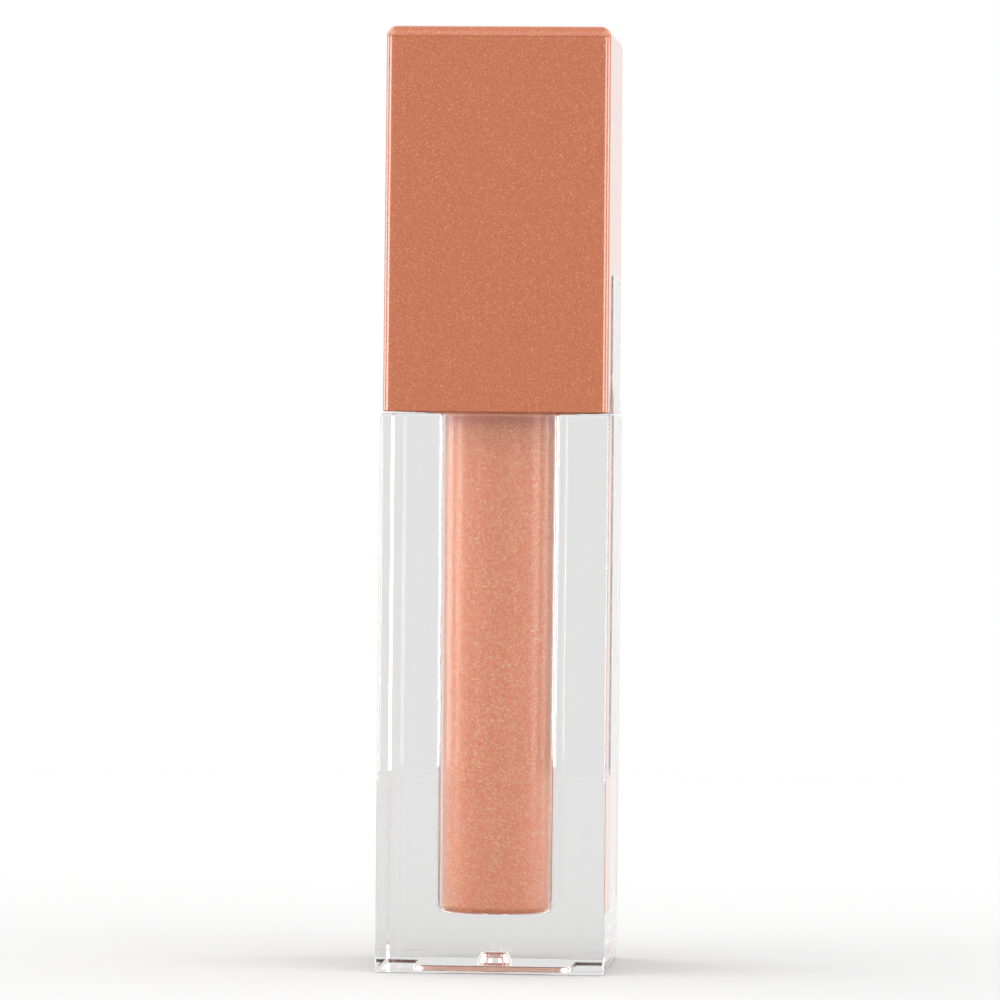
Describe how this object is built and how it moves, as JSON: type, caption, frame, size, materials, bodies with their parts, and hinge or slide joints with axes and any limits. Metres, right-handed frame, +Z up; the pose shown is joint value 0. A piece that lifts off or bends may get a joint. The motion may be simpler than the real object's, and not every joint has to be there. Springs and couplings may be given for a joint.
{
  "type": "lip gloss tube",
  "caption": "Square lip gloss tube: thick clear bottle with shimmering peach gloss, copper screw cap, and a wand with a flocked doe-foot tip.",
  "frame": {"origin": "centre of the square base, on the plane the tube stands on", "axes": "+Z up along the tube towards the cap, +X out of the face that carries the clear ingredient label, -Y out of the front face"},
  "size_m": [0.0221, 0.022, 0.0907],
  "materials": {
    "clear_petg": "clear, polished",
    "peach_gloss": "liquid with fine pearl shimmer",
    "wiper_ldpe": "milky, soft",
    "copper_pearl": "copper pearl, glossy",
    "natural_pp": "natural, satin",
    "foam_liner": "foamed sheet",
    "stem_pp": "satin",
    "tip_core": "satin",
    "nylon_flock": "short flock",
    "shade_paper": "coated",
    "label_film": "clear film"
  },
  "bodies": {
    "bottle_body": {"bottle": "clear_petg", "gloss_fill": "peach_gloss", "wiper": "wiper_ldpe", "shade_label": "shade_paper", "side_label_bottle": "label_film"},
    "washer_body": {"seal_washer": "foam_liner"},
    "wand_body": {"stem": "stem_pp"},
    "cap_body": {"overcap": "copper_pearl", "inner_cap": "natural_pp", "applicator_core": "tip_core", "applicator_flock": "nylon_flock", "side_label_cap": "label_film"}
  },
  "joints": [
    {"name": "wand_pull", "type": "slide", "parent": "bottle_body", "child": "washer_body", "axis": [0, 0, 1], "range_m": [0, 0.06]},
    {"name": "thread_rise", "type": "slide", "parent": "washer_body", "child": "wand_body", "axis": [0, 0, 1], "range_m": [0, 0.0046]},
    {"name": "cap_turn", "type": "hinge", "parent": "wand_body", "child": "cap_body", "pos_m": [0, 0, 0.07], "axis": [0, 0, 1], "range_deg": [0, 540]}
  ],
  "couplings": [
    {"joint": "thread_rise", "follows": "cap_turn", "m_per_rad": 0.00047746}
  ]
}
